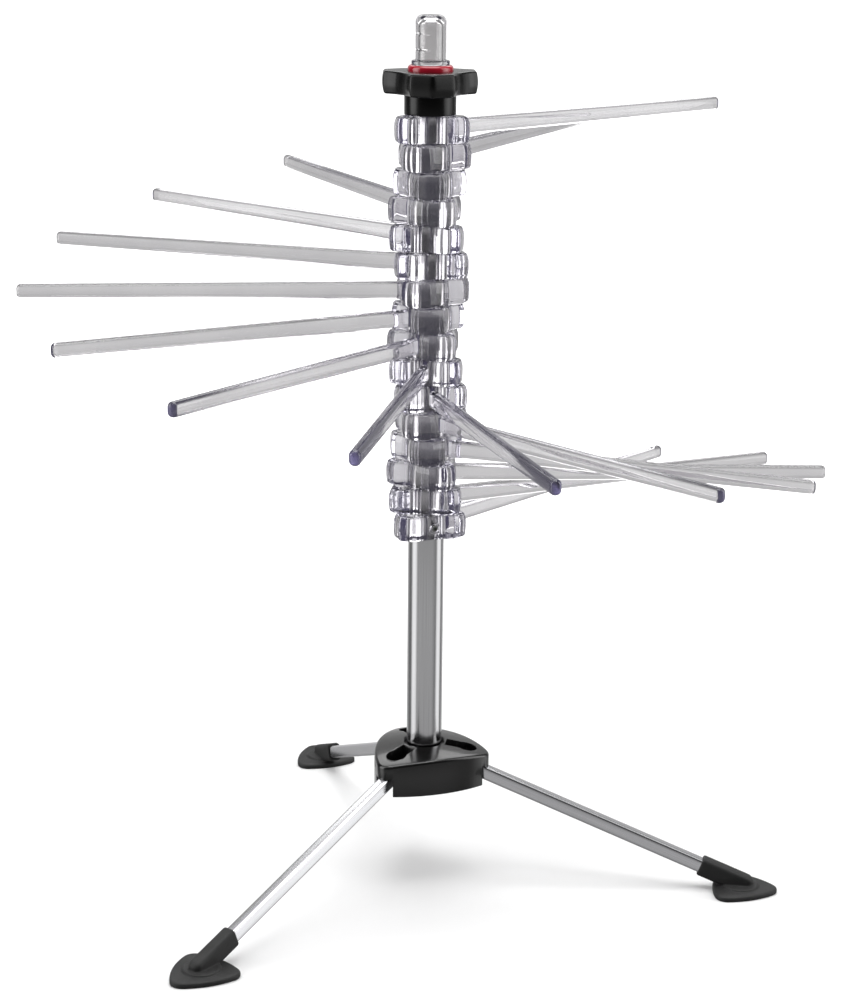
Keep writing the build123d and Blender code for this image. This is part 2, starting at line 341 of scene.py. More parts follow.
def across(section: Sequence[Point], x: float, rise: float = 0.0) -> Ring:
    """Stand an outline across the X axis."""
    return [Vector((x, y, rise + z)) for y, z in section]


def quarter(radius: float, steps: int = CORNER_STEPS) -> list[Point]:
    """Pairs of inset and drop that round an edge, from its side to its top."""
    angles = [math.radians(90 * step / steps) for step in range(steps + 1)]
    return [(radius * (1 - math.cos(a)), radius * (1 - math.sin(a))) for a in angles]


def linked(name: str, data: bpy.types.ID) -> Piece:
    """Make an object and link it to the scene."""
    thing = bpy.data.objects.new(name, data)
    bpy.context.scene.collection.objects.link(thing)
    return thing


def skin(name: str, rings: Sequence[Ring], closed: bool = False) -> Piece:
    """Cover a row of rings with faces.

    Args:
        name: The object's name.
        rings: Rings of equal length, in millimetres.
        closed: Whether the last ring joins the first, instead of both being capped.

    Returns:
        A linked object with outward normals, smooth shading and its map of lengths.
    """
    shell = bmesh.new()
    drawn = shell.loops.layers.uv.new(DRAWN_MAP)
    grid = [[shell.verts.new(point * MM) for point in ring] for ring in rings]
    around = len(grid[0])
    travel = 0.0
    for lower, upper in zip(grid, grid[1:] + (grid[:1] if closed else [])):
        rise = (upper[0].co - lower[0].co).length
        walked = 0.0
        for index in range(around):
            other = (index + 1) % around
            width = (lower[other].co - lower[index].co).length
            face = shell.faces.new((lower[index], lower[other], upper[other], upper[index]))
            places = (
                (walked, travel), (walked + width, travel),
                (walked + width, travel + rise), (walked, travel + rise),
            )
            for loop, place in zip(face.loops, places):
                loop[drawn].uv = place
            walked += width
        travel += rise
    if not closed:
        for end in (grid[0], grid[-1]):
            if (end[0].co - end[around // 2].co).length > MERGE_DISTANCE:
                shell.faces.new(end)
    bmesh.ops.remove_doubles(shell, verts=shell.verts, dist=MERGE_DISTANCE)
    bmesh.ops.recalc_face_normals(shell, faces=shell.faces)
    mesh = bpy.data.meshes.new(name)
    shell.to_mesh(mesh)
    shell.free()
    piece = linked(name, mesh)
    soften(piece)
    return piece


def lathe(
    name: str, profile: Sequence[Point], closed: bool = True, segments: int = FULL_ROUND
) -> Piece:
    """Turn a profile round the Z axis.

    Args:
        name: The object's name.
        profile: Points of radius and height.
        closed: Whether the profile is a loop clear of the axis.
        segments: Number of spans round the axis.

    Returns:
        The turned object.
    """
    rays = [polar(1.0, TURN * index / segments) for index in range(segments)]
    rings = [[Vector((x * r, y * r, z)) for x, y in rays] for r, z in profile]
    return skin(name, rings, closed)


def turned(name: str, corners: Sequence[Triple], segments: int) -> Piece:
    """Turn an open path with rounded corners round the Z axis."""
    return lathe(name, rounded_path(corners, closed=False), False, segments)


def prism(name: str, outline: Sequence[Point], low: float, high: float) -> Piece:
    """Closed upright block of an outline between two heights."""
    return skin(name, [level(outline, low), level(outline, high)])


def soften(piece: Piece) -> None:
    """Shade a mesh smooth, with its sharp edges left crisp."""
    piece.data.shade_smooth()
    piece.data.set_sharp_from_angle(angle=SHARP_ANGLE)


def settle(piece: Piece) -> None:
    """Turn a piece's modifiers into its plain mesh."""
    bpy.context.view_layer.update()
    graph = bpy.context.evaluated_depsgraph_get()
    plain = bpy.data.meshes.new_from_object(piece.evaluated_get(graph))
    piece.modifiers.clear()
    old, piece.data = piece.data, plain
    plain.name = piece.name
    bpy.data.meshes.remove(old)


def combine(piece: Piece, tool: Piece, cut: Cut) -> None:
    """Join a closed tool to a piece, or cut it away, and delete the tool.

    Args:
        piece: The piece that is kept.
        tool: The mesh that is used up.
        cut: How the two are combined.
    """
    modifier = piece.modifiers.new(cut.name, "BOOLEAN")
    modifier.operation = cut.value
    modifier.solver = "EXACT"
    modifier.object = tool
    settle(piece)
    bpy.data.meshes.remove(tool.data)
    soften(piece)


def bevel(piece: Piece, width: float) -> None:
    """Break a piece's crisp edges with a narrow round.

    Args:
        piece: The piece.
        width: Width of the round in millimetres.
    """
    modifier = piece.modifiers.new("edge_round", "BEVEL")
    modifier.width = width * MM
    modifier.segments = 2
    modifier.limit_method = "ANGLE"
    modifier.angle_limit = BEVEL_ANGLE
    settle(piece)
    soften(piece)


def moved(piece: Piece, matrix: Matrix) -> Piece:
    """Move a piece's mesh and leave its object at the origin."""
    piece.data.transform(matrix)
    return piece


def shift(x: float, y: float, z: float) -> Matrix:
    """Translation by millimetres."""
    return Matrix.Translation(Vector((x, y, z)) * MM)


def turn(azimuth: float) -> Matrix:
    """Rotation about the Z axis by degrees."""
    return Matrix.Rotation(math.radians(azimuth), 4, "Z")


def heights(node: str) -> Point:
    """Lowest and highest level of a CAD node in millimetres."""
    low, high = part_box(node)
    return (low.z / MM, high.z / MM)


# Node trees


def plug(tree: Tree, node: bpy.types.Node, inputs: Inputs) -> None:
    """Set or link a node's inputs.

    Args:
        tree: The node's tree.
        node: The node.
        inputs: A value or a source socket for each input, by name or number.
    """
    for key, value in inputs.items():
        if isinstance(value, Socket):
            tree.links.new(value, node.inputs[key])
        else:
            node.inputs[key].default_value = value


def add_node(
    tree: Tree, kind: str, inputs: Inputs | None = None, **settings: object
) -> bpy.types.Node:
    """Add a node to a tree.

    Args:
        tree: The tree.
        kind: The node's type.
        inputs: A value or a source socket for each input, by name or number.
        settings: The node's own settings, such as its operation.

    Returns:
        The node.
    """
    node = tree.nodes.new(kind)
    for name, value in settings.items():
        setattr(node, name, value)
    plug(tree, node, inputs or {})
    return node


def new_group(
    name: str, kind: str, inputs: dict[str, str], outputs: dict[str, str]
) -> tuple[Tree, bpy.types.NodeOutputs]:
    """Make a node group with named sockets.

    Args:
        name: The group's name.
        kind: Type of its tree.
        inputs: Socket type of each input.
        outputs: Socket type of each output.

    Returns:
        The group, and the sockets that its inputs come in by.
    """
    tree = bpy.data.node_groups.new(name, kind)
    for side, sockets in (("INPUT", inputs), ("OUTPUT", outputs)):
        for label, value in sockets.items():
            tree.interface.new_socket(label, in_out=side, socket_type=f"NodeSocket{value}")
    return tree, tree.nodes.new("NodeGroupInput").outputs


def eased(tree: Tree, value: Socket, source: Point, target: Point) -> Socket:
    """Ease one range of values into another.

    Args:
        tree: The node tree.
        value: Socket of the value.
        source: Values between which it eases.
        target: What it gives below and above them.

    Returns:
        The socket of the eased value.
    """
    ends = zip(("From Min", "From Max", "To Min", "To Max"), (*source, *target))
    return add_node(
        tree, "ShaderNodeMapRange", {"Value": value, **dict(ends)},
        interpolation_type="SMOOTHSTEP",
    ).outputs[0]


# Placement by geometry nodes


@dataclass(frozen=True)
class Row:
    """Even row of copies round the column.

    Attributes:
        azimuth: Azimuth of the first copy in degrees.
        step: Azimuth from one copy to the next in degrees.
        level: Level of the first copy in millimetres.
        drop: How far each copy is lowered below the one before, in millimetres.
    """

    azimuth: float
    step: float
    level: float = 0.0
    drop: float = 0.0


class SpiralPlacement:
    """Node tree that turns and lowers a master mesh to its place in an even row."""

    def __init__(self) -> None:
        """Build the tree once."""
        rows = (("First Azimuth", "Azimuth Step"), ("Start Level", "Level Step"))
        tree, source = new_group(
            "spiral_placement", "GeometryNodeTree",
            {"Geometry": "Geometry", **dict.fromkeys((*rows[0], *rows[1]), "Float"),
             "Index": "Int", "Finish": "Material"}, {"Geometry": "Geometry"},
        )
        spin, spot = (
            add_node(tree, "ShaderNodeCombineXYZ", {"Z": add_node(
                tree, "ShaderNodeMath",
                {0: source["Index"], 1: source[step], 2: source[first]},
                operation="MULTIPLY_ADD",
            ).outputs[0]}).outputs[0]
            for first, step in rows
        )
        copy = add_node(
            tree, "GeometryNodeTransform",
            {"Geometry": source["Geometry"], "Translation": spot, "Rotation": spin},
        )
        realize = add_node(tree, "GeometryNodeRealizeInstances", {0: copy.outputs[0]})
        paint = add_node(
            tree, "GeometryNodeSetMaterial",
            {"Geometry": realize.outputs[0], "Material": source["Finish"]},
        )
        add_node(tree, "NodeGroupOutput", {0: paint.outputs[0]})
        self.tree = tree

    def place(
        self, master: Piece, name: str, finish: Material, index: int, row: Row
    ) -> Piece:
        """Make one placed copy of a master mesh.

        Args:
            master: The mesh as drawn on the X axis.
            name: Name of the copy.
            finish: Material of the copy.
            index: The copy's number in its row, from zero.
            row: The row.

        Returns:
            The copy as a plain mesh.
        """
        piece = linked(name, master.data.copy())
        modifier = piece.modifiers.new("placement", "NODES")
        modifier.node_group = self.tree
        values = {
            "First Azimuth": math.radians(row.azimuth), "Azimuth Step": math.radians(row.step),
            "Start Level": row.level * MM, "Level Step": -row.drop * MM,
            "Index": index, "Finish": finish,
        }
        for item in self.tree.interface.items_tree:
            if item.in_out == "INPUT" and item.name in values:
                modifier[item.identifier] = values[item.name]
        settle(piece)
        return piece


# Finishes


def moulded_skin() -> Tree:
    """Make the group for moulded surfaces: slow flow waves with a fine grain over them."""
    tree, source = new_group(
        "moulded_skin", "ShaderNodeTree",
        dict.fromkeys(MOULDED_VALUES, "Float"), TEXTURE_OUTPUTS,
    )
    place = add_node(tree, "ShaderNodeTexCoord").outputs["Object"]
    wave, grain = (
        add_node(tree, "ShaderNodeTexNoise", {
            "Vector": place, "Scale": source[scale], "Detail": detail,
        }).outputs["Fac"]
        for scale, detail in (("Wave Scale", 2.0), ("Grain Scale", 3.0))
    )
    mixed = add_node(
        tree, "ShaderNodeMix", {"Factor": source["Grain Share"], "A": wave, "B": grain}
    )
    return end_texture(tree, source, mixed.outputs["Result"], wave)


def drawn_lines() -> Tree:
    """Make the group for drawn and brushed metal: fine lines along the piece's length map."""
    tree, source = new_group(
        "drawn_lines", "ShaderNodeTree",
        dict.fromkeys(DRAWN_VALUES, "Float"), TEXTURE_OUTPUTS,
    )
    place = add_node(tree, "ShaderNodeUVMap", uv_map=DRAWN_MAP)
    scale = add_node(
        tree, "ShaderNodeCombineXYZ", {"X": source["Lines Across"], "Y": source["Lines Along"]}
    )
    stretch = add_node(
        tree, "ShaderNodeVectorMath", {0: place.outputs["UV"], 1: scale.outputs[0]},
        operation="MULTIPLY",
    )
    noise = add_node(
        tree, "ShaderNodeTexNoise", {"Vector": stretch.outputs[0], "Scale": 1.0, "Detail": 3.0}
    ).outputs["Fac"]
    return end_texture(tree, source, noise, noise)


def end_texture(
    tree: Tree, source: bpy.types.NodeOutputs, height: Socket, shade: Socket
) -> Tree:
    """Give a texture group its outputs, with roughness varied by its relief.

    Args:
        tree: The group.
        source: Sockets that its inputs come in by.
        height: Socket of the relief, about one half on average.
        shade: Socket that picks between the finish's two colours.

    Returns:
        The group.
    """
    centred = add_node(tree, "ShaderNodeMath", {0: height, 1: 0.5}, operation="SUBTRACT")
    varied = add_node(
        tree, "ShaderNodeMath",
        {0: centred.outputs[0], 1: source["Roughness Spread"], 2: source["Roughness"]},
        operation="MULTIPLY_ADD", use_clamp=True,
    )
    add_node(tree, "NodeGroupOutput", dict(
        zip(TEXTURE_OUTPUTS, (varied.outputs[0], height, shade))
    ))
    return tree


@dataclass(frozen=True)
class Finish:
    """A surface finish with two near colours, a shader group and plain shader values."""

    name: str
    dark: Colour
    light: Colour
    pattern: Pattern
    relief: float
    metallic: float = 0.0
    coat: float = 0.0
    specular: float = 0.5
    shade_range: Point = (0.3, 0.7)

    def make(self, group: Tree) -> Material:
        """Build the material.

        Args:
            group: Shader group that gives roughness, height and shade.

        Returns:
            The material.
        """
        material = bpy.data.materials.new(self.name)
        material.use_nodes = True
        tree = material.node_tree
        texture = add_node(
            tree, "ShaderNodeGroup", dict(self.pattern), node_tree=group
        ).outputs
        ramp = add_node(tree, "ShaderNodeValToRGB", {"Fac": texture["Shade"]})
        for element, position, colour in zip(
            ramp.color_ramp.elements, self.shade_range, (self.dark, self.light)
        ):
            element.position, element.color = position, colour
        bump = add_node(tree, "ShaderNodeBump", {
            "Strength": 1.0, "Distance": self.relief * MM, "Height": texture["Height"],
        })
        plug(tree, tree.nodes["Principled BSDF"], {
            "Base Color": ramp.outputs["Color"], "Roughness": texture["Roughness"],
            "Normal": bump.outputs["Normal"], "Metallic": self.metallic,
            "Coat Weight": self.coat, "Specular IOR Level": self.specular,
        })
        self.complete(tree)
        return material

    def complete(self, tree: Tree) -> None:
        """Leave the material as it is; clear finishes add to it."""


@dataclass(frozen=True)
class ClearFinish(Finish):
    """Clear moulded plastic that takes colour over a long path through it, with a painted glow.
    """

    ior: float = 1.5
    clearness: float = 1.0
    tint: Colour = (0.77, 0.75, 0.88, 1.0)
    tint_density: float = 13.0
    # Painted glow: the volume gives off this violet light itself, though the plastic is no lamp.
    glow: Colour = (0.55, 0.5, 0.9, 1.0)
    painted_glow_density: float = 1.5

    def complete(self, tree: Tree) -> None:
        """Make the plastic clear, with its absorbing tint and a painted violet glow in its
        volume.
        """
        plug(tree, tree.nodes["Principled BSDF"], {
            "Transmission Weight": self.clearness, "IOR": self.ior,
        })
        depth = add_node(tree, "ShaderNodeVolumeAbsorption", {
            "Color": self.tint, "Density": self.tint_density,
        })
        # Painted glow, added to the volume's real absorption.
        glow = add_node(tree, "ShaderNodeEmission", {
            "Color": self.glow, "Strength": self.painted_glow_density,
        })
        both = add_node(tree, "ShaderNodeAddShader", {0: depth.outputs[0], 1: glow.outputs[0]})
        plug(tree, tree.nodes["Material Output"], {"Volume": both.outputs[0]})


def grey(value: float) -> Colour:
    """Neutral colour."""
    return (value, value, value, 1.0)


def moulded(*values: float) -> Pattern:
    """Pair a moulded surface's values with their names."""
    return tuple(zip(MOULDED_VALUES, values))


def drawn(*values: float) -> Pattern:
    """Pair a drawn surface's values with their names."""
    return tuple(zip(DRAWN_VALUES, values))


class Finishes:
    """All finishes of the rack, built once."""

    def __init__(self) -> None:
        """Build both shader groups and every material."""
        skin_group, line_group = moulded_skin(), drawn_lines()
        self.arm = ClearFinish(
            "clear_arm_plastic", (0.86, 0.85, 0.855, 1.0), (0.94, 0.93, 0.93, 1.0),
            moulded(30.0, 400.0, 0.04, 0.02, 0.05), 0.012, clearness=0.985,
        ).make(skin_group)
        self.wand = ClearFinish(
            "clear_wand_plastic", (0.82, 0.81, 0.81, 1.0), (0.90, 0.89, 0.89, 1.0),
            moulded(45.0, 500.0, 0.1, 0.0, 0.03), 0.02,
        ).make(skin_group)
        self.base = Finish(
            "gloss_black_moulding", grey(0.0035), grey(0.006),
            moulded(35.0, 1500.0, 0.25, 0.22, 0.12), 0.05, coat=0.3,
        ).make(skin_group)
        self.knob = Finish(
            "satin_black_moulding", grey(0.002), grey(0.004),
            moulded(50.0, 2500.0, 0.6, 0.22, 0.1), 0.015, specular=0.3,
        ).make(skin_group)
        self.eye = Finish(
            "plain_black_moulding", grey(0.008), grey(0.016),
            moulded(60.0, 1800.0, 0.4, 0.4, 0.1), 0.04,
        ).make(skin_group)
        self.rubber = Finish(
            "soft_foot_rubber", grey(0.016), grey(0.026),
            moulded(80.0, 1600.0, 0.75, 0.62, 0.18), 0.10, specular=0.4,
        ).make(skin_group)
        self.red = Finish(
            "red_ring_plastic", (0.40, 0.005, 0.022, 1.0), (0.52, 0.010, 0.032, 1.0),
            moulded(70.0, 1500.0, 0.3, 0.2, 0.08), 0.03, coat=0.4,
        ).make(skin_group)
        self.column = Finish(
            "satin_steel_column", (0.50, 0.50, 0.51, 1.0), (0.62, 0.62, 0.63, 1.0),
            drawn(4200.0, 14.0, 0.16, 0.12), 0.015, metallic=1.0,
        ).make(line_group)
        self.leg = Finish(
            "bright_steel_leg", (0.60, 0.60, 0.62, 1.0), (0.72, 0.72, 0.74, 1.0),
            drawn(3600.0, 20.0, 0.20, 0.1), 0.012, metallic=1.0,
        ).make(line_group)
        self.screw = Finish(
            "dark_zinc_screw", grey(0.25), grey(0.42),
            moulded(900.0, 4000.0, 0.4, 0.35, 0.2), 0.02, metallic=1.0,
        ).make(skin_group)
        self.pin = Finish(
            "turned_pin_steel", grey(0.42), grey(0.58),
            moulded(300.0, 3000.0, 0.4, 0.28, 0.1), 0.02, metallic=1.0,
        ).make(skin_group)


def fit(piece: Piece, finish: Material, body: str, node: str) -> None:
    """Dress a finished piece and put it in the place of its CAD node.

    Args:
        piece: The piece, its object at the origin.
        finish: Its material.
        body: Body that it rides on.
        node: CAD node that it stands for.
    """
    piece.data.materials.clear()
    piece.data.materials.append(finish)
    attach(piece, body)
    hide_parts(node)
    LOG.info("%s on %s: %d faces", piece.name, body, len(piece.data.polygons))


# Sub-assemblies


@dataclass
class ArmStack:
    """Sixteen clear arms whose lobed hubs are stacked on the column."""

    count: int = 16
    first_azimuth: float = 39.9
    step: float = 24.6
    pitch: float = 14.8
    land_height: float = 0.4
    land_radius: float = 13.9
    bore_radius: float = 10.3
    lobe_reach: float = 23.4
    lobe_half_width: float = 8.8
    lobe_edge_radius: float = 3.0
    lobe_spacing: float = 1.3
    waist_radius: float = 14.75
    draft: float = 0.35
    rim: float = 2.2
    bulge: float = 0.3
    arm_reach: float = 225.0
    root_size: Point = (6.5, 9.8)
    root_depth: float = 2.5
    bar_stations: tuple[float, ...] = (40.0, 90.0, 150.0)
    tip_size: Point = (5.9, 8.0)
    tip_rise: float = 2.0
    corner_radius: float = 2.7
    tip_rounding: float = 2.6
    peg_radius: float = 1.5
    peg_depth: float = 1.4
    peg_circle: float = 16.2
    peg_gap: float = 0.3
    peg_edge: float = 0.3
    peg_root: float = 1.5
    boss_radius: float = 3.3
    boss_start: float = 11.5
    boss_reach: float = 16.4
    boss_edge: float = 0.5
    hole_span: Point = (5.0, 18.0)
    screw_radius: float = 2.0
    screw_gap: float = 0.1
    screw_length: float = 5.6
    screw_azimuth: float = 240.0
    socket_width: float = 2.0
    socket_depth: float = 2.0
    thread_pitch: float = 0.7
    thread_depth: float = 0.22
    thread_end: float = 0.5
    thread_crest: Point = (0.4, 0.55)
    point_chamfer: float = 0.4
    head_chamfer: float = 0.15
    column_radius: float = 10.0

    @property
    def body_height(self) -> float:
        """Height of a hub without its bearing land."""
        return self.pitch - self.land_height

    @property
    def peg_azimuth(self) -> float:
        """Azimuth of the stop peg in the arm's own frame."""
        return TURN / 2 + self.step / 2

    def hub(self) -> Piece:
        """Make the lobed hub with its rounded rims, land and bore."""
        outline = lobed_outline(
            self.lobe_reach, self.lobe_half_width, self.waist_radius,
            self.lobe_edge_radius, self.lobe_spacing,
        )
        profile = rim_profile(self.body_height, self.rim, self.rim, self.draft, self.bulge)
        rings = circles(outline, [(self.bore_radius, 0.0)]) + walls(outline, profile)
        rings += circles(outline, [
            (self.land_radius, self.body_height), (self.land_radius, self.pitch),
            (self.bore_radius, self.pitch),
        ])
        return skin("hub_master", rings, closed=True)

    def bar(self) -> Piece:
        """Make the tapered bar with its rounded tip."""
        start = self.waist_radius - self.root_depth
        stations = [(x, 0.0) for x in (start, *self.bar_stations)]
        stations += [(self.arm_reach - drop, depth)
                     for depth, drop in quarter(self.tip_rounding, CORNER_STEPS + 1)]
        rings = []
        for x, depth in stations:
            share = (x - start) / (self.arm_reach - start)
            size = (a + (b - a) * share for a, b in zip(self.root_size, self.tip_size))
            section = rounded_box(*size, self.corner_radius)
            middle = self.body_height / 2 + self.tip_rise * share
            rings.append(across(inset(section, depth), x, middle))
        return skin("bar_master", rings)

    def slot_tool(self) -> Piece:
        """Make the cutter of the arc slot in a hub's top."""
        half = self.peg_radius + self.peg_gap
        last, first = self.peg_azimuth, self.peg_azimuth - self.step
        points: list[Point] = []
        for start, end, flank, lead in ((first, last, half, 0), (last, first, -half, TURN / 2)):
            points += arc((0, 0), self.peg_circle + flank, start, end, SLOT_STEPS)
            centre = polar(self.peg_circle, end)
            points += arc(centre, half, end + lead, end + lead + TURN / 2, SLOT_STEPS)[1:-1]
        low = self.body_height - self.peg_depth - self.peg_gap
        return prism("slot_tool", points, low, self.pitch + BEYOND)

    def moulding(self) -> Piece:
        """Make the hub, bar and slot as one moulding without a peg."""
        piece = self.hub()
        combine(piece, self.bar(), Cut.JOIN)
        combine(piece, self.slot_tool(), Cut.TAKE_AWAY)
        return piece

    def peg(self) -> Piece:
        """Make the stop peg under a hub."""
        tip = -self.land_height - self.peg_depth
        peg = turned("peg_master", [
            (0.0, tip, 0.0), (self.peg_radius, tip, self.peg_edge),
            (self.peg_radius, self.peg_root, 0.0), (0.0, self.peg_root, 0.0),
        ], SMALL_ROUND)
        return moved(peg, shift(*polar(self.peg_circle, self.peg_azimuth), 0.0))

    def screw_place(self) -> Matrix:
        """Give the placement whose Z axis runs outward along the grub screw."""
        tilt = Matrix.Rotation(math.radians(90), 4, "Y")
        return shift(0, 0, self.body_height / 2) @ turn(self.screw_azimuth) @ tilt

    def locked_moulding(self) -> Piece:
        """Make the lowest arm with its screw boss and hole."""
        piece = self.moulding()
        boss = turned("boss_tool", [
            (0.0, self.boss_start, 0.0), (self.boss_radius, self.boss_start, 0.0),
            (self.boss_radius, self.boss_reach, self.boss_edge), (0.0, self.boss_reach, 0.0),
        ], MIDDLE_ROUND)
        combine(piece, moved(boss, self.screw_place()), Cut.JOIN)
        radius, (first, last) = self.screw_radius + self.screw_gap, self.hole_span
        hole = lathe(
            "hole_tool", [(0, first), (radius, first), (radius, last), (0, last)], False,
            MIDDLE_ROUND,
        )
        combine(piece, moved(hole, self.screw_place()), Cut.TAKE_AWAY)
        return piece

    def grub_screw(self) -> Piece:
        """Make the grub screw with its thread, chamfer and hexagon socket."""
        start = self.column_radius + self.screw_gap
        head = start + self.screw_length
        pitch, root = self.thread_pitch, self.screw_radius - self.thread_depth
        profile: list[Point] = [(0.0, start), (root - self.point_chamfer, start)]
        for ridge in range(int((self.screw_length - 2 * self.thread_end) / pitch)):
            base = start + self.thread_end + ridge * pitch
            profile.append((root, base))
            profile += [(self.screw_radius, base + pitch * share) for share in self.thread_crest]
        profile += [(root, head - self.point_chamfer), (root, head - self.head_chamfer),
                    (root - self.head_chamfer, head)]
        rays = [TURN * index / MIDDLE_ROUND for index in range(MIDDLE_ROUND)]
        side = TURN / 6
        rings = [[Vector((*polar(r, ray), z)) for ray in rays] for r, z in profile]
        for z in (head, head - self.socket_depth):
            ring = []
            for ray in rays:
                corner = math.cos(math.radians(ray % side - side / 2))
                ring.append(Vector((*polar(self.socket_width / 2 / corner, ray), z)))
            rings.append(ring)
        bottom = head - self.socket_depth - self.point_chamfer
        rings.append([Vector((0, 0, bottom))] * len(rays))
        return moved(skin("grub_screw", rings), self.screw_place())

    def build(self, finishes: Finishes, spiral: SpiralPlacement) -> None:
        """Place all arms and the grub screw.

        Args:
            finishes: The rack's materials.
            spiral: The tree that turns and lowers each arm.
        """
        top = heights("arm_01")[1] - self.pitch
        row = Row(self.first_azimuth, self.step, top, self.pitch)
        turning = self.moulding()
        combine(turning, self.peg(), Cut.JOIN)
        locked, thread = self.locked_moulding(), self.grub_screw()
        for index in range(self.count):
            last = index == self.count - 1
            piece = spiral.place(
                locked if last else turning, f"arm_moulding_{index + 1:02d}", finishes.arm,
                index, row,
            )
            soften(piece)
            node = f"arm_{index + 1:02d}"
            fit(piece, finishes.arm, "stand" if last else node, node)
        screw = spiral.place(
            thread, "grub_screw_piece", finishes.screw, self.count - 1, row
        )
        soften(screw)
        fit(screw, finishes.screw, "stand", "set_screw")
        discard(turning, locked, thread)


def rim_profile(
    height: float, low: float, high: float, draft: float, bulge: float = 0.0
) -> list[Point]:
    """Inset and height of each ring up a wall with two rounded rims.

    Args:
        height: Height of the wall.
        low: Rounding of the lower rim.
        high: Rounding of the upper rim.
        draft: How far the wall has leaned inwards at the top.
        bulge: How far the wall swells between its rims.

    Returns:
        Pairs of inset and height, upwards.
    """
    rings = [(drop, depth) for depth, drop in quarter(low)]
    upper = [(draft + depth, height - drop) for depth, drop in quarter(high)]
    if not bulge:
        return rings + upper
    span = height - low - high
    middle = [
        (bulge * (2 * step / BULGE_STEPS - 1) ** 2, low + span * step / BULGE_STEPS)
        for step in range(1, BULGE_STEPS)
    ]
    lift = [(depth + bulge, rise) for depth, rise in (*rings, *upper)]
    return lift[: len(rings)] + middle + lift[len(rings):]


def discard(*pieces: Piece) -> None:
    """Delete master objects that have been copied to their places."""
    for piece in pieces:
        bpy.data.objects.remove(piece)


@dataclass
class Clamp:
    """Pressure collar, three-lobed knob and the red ring in its top."""

    bore_radius: float = ArmStack.bore_radius
    collar_radius: float = 14.2
    collar_height: float = 10.5
    neck_radius: float = 12.2
    neck_height: float = 2.5
    lip_radius: float = 13.1
    lip_height: float = 2.2
    collar_edges: tuple[float, ...] = (0.3, 0.3, 0.6, 0.2, 0.2, 0.3, 0.5, 0.3)
    azimuth: float = -27.5
    reach: float = 30.0
    half_width: float = 12.4
    waist: float = 19.0
    edge_radius: float = 2.4
    rim: float = 1.7
    bulge: float = 0.5
    snap_gap: float = 0.4
    mouth_depth: float = 2.0
    mouth_chamfer: float = 0.4
    band_radius: float = 12.5
    band_edges: tuple[float, ...] = (0.2, 0.3, 2.0, 0.6)
    seat_depth: float = 0.8
    seat_gap: float = 0.1
    seat_chamfer: float = 0.3
    spacing: float = 1.5

    def collar(self) -> Piece:
        """Make the collar with its neck and snap lip."""
        low = heights("clamp_collar")[0]
        shoulder = low + self.collar_height
        neck = shoulder + self.neck_height
        lip = neck + self.lip_height
        corners = (
            (self.bore_radius, low), (self.collar_radius, low),
            (self.collar_radius, shoulder), (self.neck_radius, shoulder),
            (self.neck_radius, neck), (self.lip_radius, neck),
            (self.lip_radius, lip), (self.bore_radius, lip),
        )
        return lathe("pressure_collar", edged(corners, self.collar_edges))

    def knob(self) -> Piece:
        """Make the knob with its flared lobes, mouth, groove and ring seat."""
        low, high = heights("knob")
        outline = lobed_outline(
            self.reach, self.half_width, self.waist, self.edge_radius, self.spacing
        )
        seat = high - self.seat_depth
        mouth = self.neck_radius + self.snap_gap
        groove = self.lip_radius + self.snap_gap
        roof = self.neck_height + self.lip_height + self.snap_gap + (
            heights("clamp_collar")[0] + self.collar_height
        )
        recess = self.band_radius + self.seat_gap
        rings = circles(outline, [
            (mouth, low + self.mouth_chamfer), (mouth + self.mouth_chamfer, low),
        ])
        rings += walls(
            outline, rim_profile(high - low, self.rim, self.rim, 0.0, self.bulge), low
        )
        rings += circles(outline, [
            (recess + self.seat_chamfer, high), (recess, high - self.seat_chamfer),
            (recess, seat), (self.bore_radius, seat),
            (self.bore_radius, roof), (groove, roof),
            (groove, low + self.mouth_depth), (mouth, low + self.mouth_depth),
        ])
        return moved(skin("clamp_knob", rings, closed=True), turn(self.azimuth))

    def band(self) -> Piece:
        """Make the bulging red ring."""
        low, high = heights("red_band")
        return lathe("seated_red_ring", edged(
            upright(self.bore_radius, self.band_radius, low, high), self.band_edges
        ))

    def build(self, finishes: Finishes) -> None:
        """Place collar, knob and ring."""
        fit(self.collar(), finishes.knob, "collar", "clamp_collar")
        fit(self.knob(), finishes.knob, "knob", "knob")
        fit(self.band(), finishes.red, "knob", "red_band")


